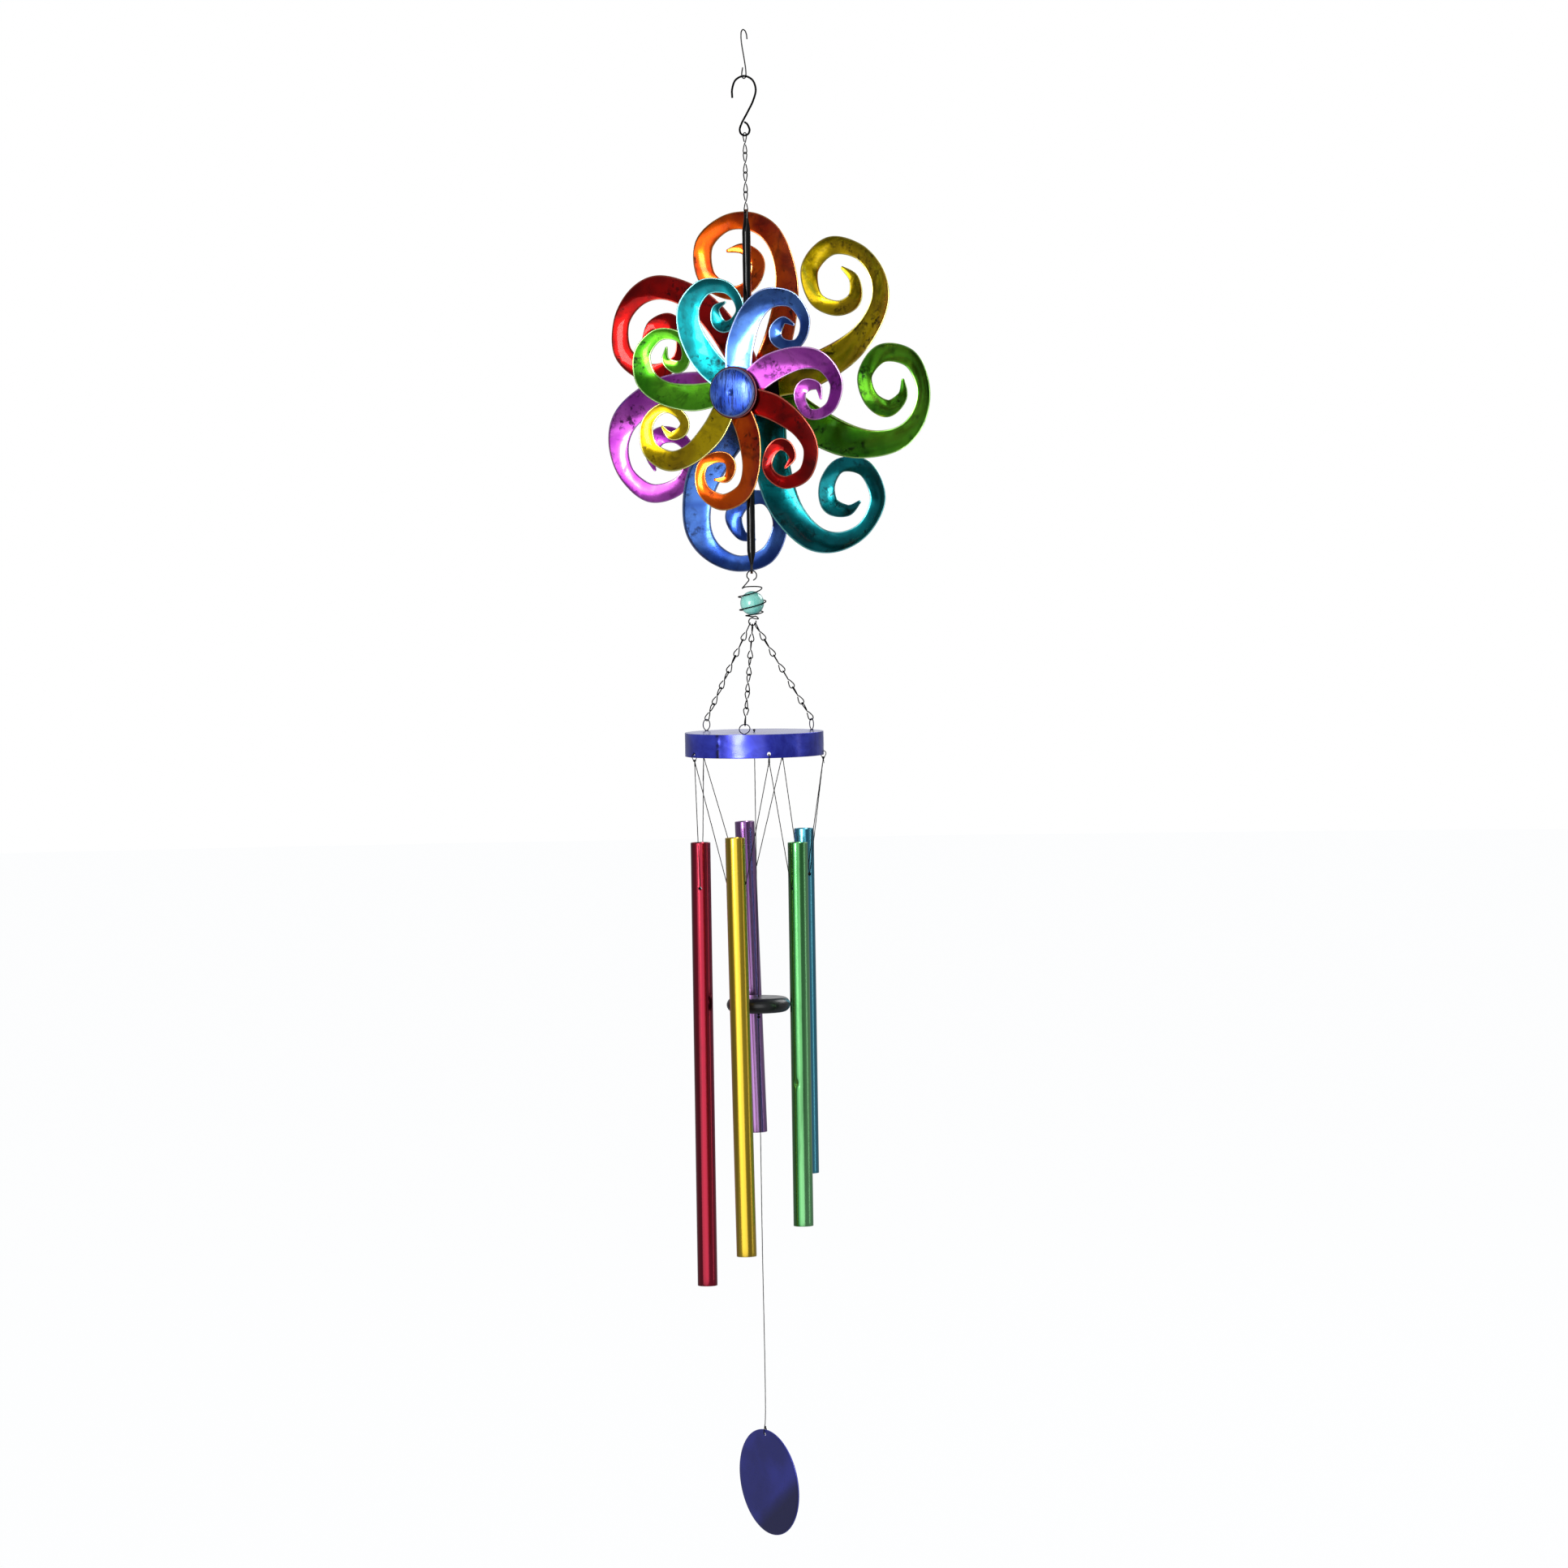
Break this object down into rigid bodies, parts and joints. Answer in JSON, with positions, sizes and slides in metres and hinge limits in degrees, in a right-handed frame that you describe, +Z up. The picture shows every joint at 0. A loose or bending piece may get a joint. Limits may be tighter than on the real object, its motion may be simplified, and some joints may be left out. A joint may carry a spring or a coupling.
{
  "type": "kinetic wind sculpture",
  "caption": "Hanging wind sculpture with two counter-turning curled-petal wheels, a caged glass marble, and a wind chime of coloured tubes with striker and sail.",
  "frame": {"origin": "the hang point: the inside of the top hook's crown, where it rests on whatever holds the sculpture up", "axes": "+Z up along the plumb line, +Y along the wheels' axle towards the large wheel, so the small wheel faces -Y, +X completes a right-handed frame"},
  "size_m": [0.2967, 0.1184, 1.2597],
  "materials": {
    "steel_wire": "satin",
    "black_wire": "gloss",
    "rod_black": "gloss",
    "fastener": "satin",
    "crimson_paint": "gloss",
    "marble_glass": "polished",
    "pan_blue": "satin",
    "string": "matte",
    "striker_black": "satin",
    "sail_navy": "satin",
    "petal_blue": "gloss",
    "petal_magenta": "gloss",
    "petal_red": "gloss",
    "petal_orange": "gloss",
    "petal_yellow": "gloss",
    "petal_green": "gloss",
    "petal_teal": "gloss",
    "tube_red": "satin",
    "tube_yellow": "satin",
    "tube_green": "satin",
    "tube_blue": "satin",
    "tube_purple": "satin"
  },
  "bodies": {
    "hanger": {"steel_hook": "steel_wire"},
    "hook": {"black_hook": "black_wire"},
    "link_1": {"top_link_1": "black_wire"},
    "link_2": {"top_link_2": "black_wire"},
    "link_3": {"top_link_3": "black_wire"},
    "link_4": {"top_link_4": "black_wire"},
    "spindle": {"rod": "rod_black", "axle": "fastener", "front_spacer": "rod_black", "rear_spacer": "rod_black", "rear_nut": "fastener"},
    "front_wheel": {"front_hub_plate": "crimson_paint", "front_hub_ring": "crimson_paint", "front_hub_cap": "petal_blue", "front_petal_blue": "petal_blue", "front_petal_magenta": "petal_magenta", "front_petal_red": "petal_red", "front_petal_orange": "petal_orange", "front_petal_yellow": "petal_yellow", "front_petal_green": "petal_green", "front_petal_teal": "petal_teal"},
    "rear_wheel": {"rear_hub_plate": "rod_black", "rear_petal_orange": "petal_orange", "rear_petal_yellow": "petal_yellow", "rear_petal_green": "petal_green", "rear_petal_teal": "petal_teal", "rear_petal_blue": "petal_blue", "rear_petal_magenta": "petal_magenta", "rear_petal_red": "petal_red"},
    "marble_cage": {"cage": "black_wire", "marble": "marble_glass"},
    "chime_pan": {"pan": "pan_blue", "pan_eye_right": "black_wire", "pan_eye_left": "black_wire", "pan_eye_front": "black_wire", "leg_chain_right": "black_wire", "leg_chain_left": "black_wire", "leg_chain_front": "black_wire", "hang_loop_red": "string", "hang_loop_yellow": "string", "hang_loop_green": "string", "hang_loop_blue": "string", "hang_loop_purple": "string"},
    "chime_red": {"tube_red": "tube_red", "string_red": "string"},
    "chime_yellow": {"tube_yellow": "tube_yellow", "string_yellow": "string"},
    "chime_green": {"tube_green": "tube_green", "string_green": "string"},
    "chime_blue": {"tube_blue": "tube_blue", "string_blue": "string"},
    "chime_purple": {"tube_purple": "tube_purple", "string_purple": "string"},
    "clapper": {"cord_upper": "string", "striker": "striker_black"},
    "wind_sail": {"cord_lower": "string", "sail": "sail_navy"}
  },
  "joints": [
    {"name": "hook_swing", "type": "hinge", "parent": "hanger", "child": "hook", "pos_m": [0, 0, -0.03785], "axis": [0.91, 0.4147, 0], "range_deg": [-15, 15]},
    {"name": "link_1_swing", "type": "hinge", "parent": "hook", "child": "link_1", "pos_m": [0, 0, -0.08705], "axis": [0.4147, -0.91, 0], "range_deg": [-8, 8]},
    {"name": "link_2_swing", "type": "hinge", "parent": "link_1", "child": "link_2", "pos_m": [0, 0, -0.1022], "axis": [-0.3502, -0.9367, 0], "range_deg": [-8, 8]},
    {"name": "link_3_swing", "type": "hinge", "parent": "link_2", "child": "link_3", "pos_m": [0, 0, -0.11725], "axis": [0.9367, -0.3502, 0], "range_deg": [-8, 8]},
    {"name": "link_4_swing", "type": "hinge", "parent": "link_3", "child": "link_4", "pos_m": [0, 0, -0.1346], "axis": [-0.3502, -0.9367, 0], "range_deg": [-8, 8]},
    {"name": "spindle_swing", "type": "hinge", "parent": "link_4", "child": "spindle", "pos_m": [0, 0, -0.1508], "axis": [-0.3502, -0.9367, 0], "range_deg": [-12, 12]},
    {"name": "front_wheel_spin", "type": "hinge", "parent": "spindle", "child": "front_wheel", "pos_m": [0, -0.022, -0.3003], "axis": [0, -1, 0], "continuous": true},
    {"name": "rear_wheel_spin", "type": "hinge", "parent": "spindle", "child": "rear_wheel", "pos_m": [0, 0.032, -0.3003], "axis": [0, -1, 0], "continuous": true},
    {"name": "cage_swing", "type": "hinge", "parent": "spindle", "child": "marble_cage", "pos_m": [0, 0, -0.4487], "axis": [0.866, 0.5, 0], "range_deg": [-15, 15]},
    {"name": "chime_swing", "type": "hinge", "parent": "marble_cage", "child": "chime_pan", "pos_m": [0, 0, -0.4943], "axis": [0.9617, 0.274, 0], "range_deg": [-10, 10]},
    {"name": "red_tube_swing", "type": "hinge", "parent": "chime_pan", "child": "chime_red", "pos_m": [-0.04403, -0.01525, -0.6069], "axis": [-0.3272, 0.9449, 0], "range_deg": [-1.2, 6]},
    {"name": "yellow_tube_swing", "type": "hinge", "parent": "chime_pan", "child": "chime_yellow", "pos_m": [0.00089, -0.04659, -0.6069], "axis": [-0.9998, -0.0192, 0], "range_deg": [-1.2, 6]},
    {"name": "green_tube_swing", "type": "hinge", "parent": "chime_pan", "child": "chime_green", "pos_m": [0.04459, -0.01355, -0.6069], "axis": [-0.2907, -0.9568, 0], "range_deg": [-1.2, 6]},
    {"name": "blue_tube_swing", "type": "hinge", "parent": "chime_pan", "child": "chime_blue", "pos_m": [0.02666, 0.03822, -0.6069], "axis": [0.8202, -0.5721, 0], "range_deg": [-1.2, 6]},
    {"name": "purple_tube_swing", "type": "hinge", "parent": "chime_pan", "child": "chime_purple", "pos_m": [-0.02811, 0.03717, -0.6069], "axis": [0.7976, 0.6032, 0], "range_deg": [-1.2, 6]},
    {"name": "clapper_swing", "type": "hinge", "parent": "chime_pan", "child": "clapper", "pos_m": [0, 0, -0.5835], "axis": [0.4147, -0.91, 0], "range_deg": [-1.6, 1.6]},
    {"name": "sail_swing", "type": "hinge", "parent": "clapper", "child": "wind_sail", "pos_m": [0, 0, -0.82215], "axis": [-0.848, 0.5299, 0], "range_deg": [-3, 3]}
  ]
}
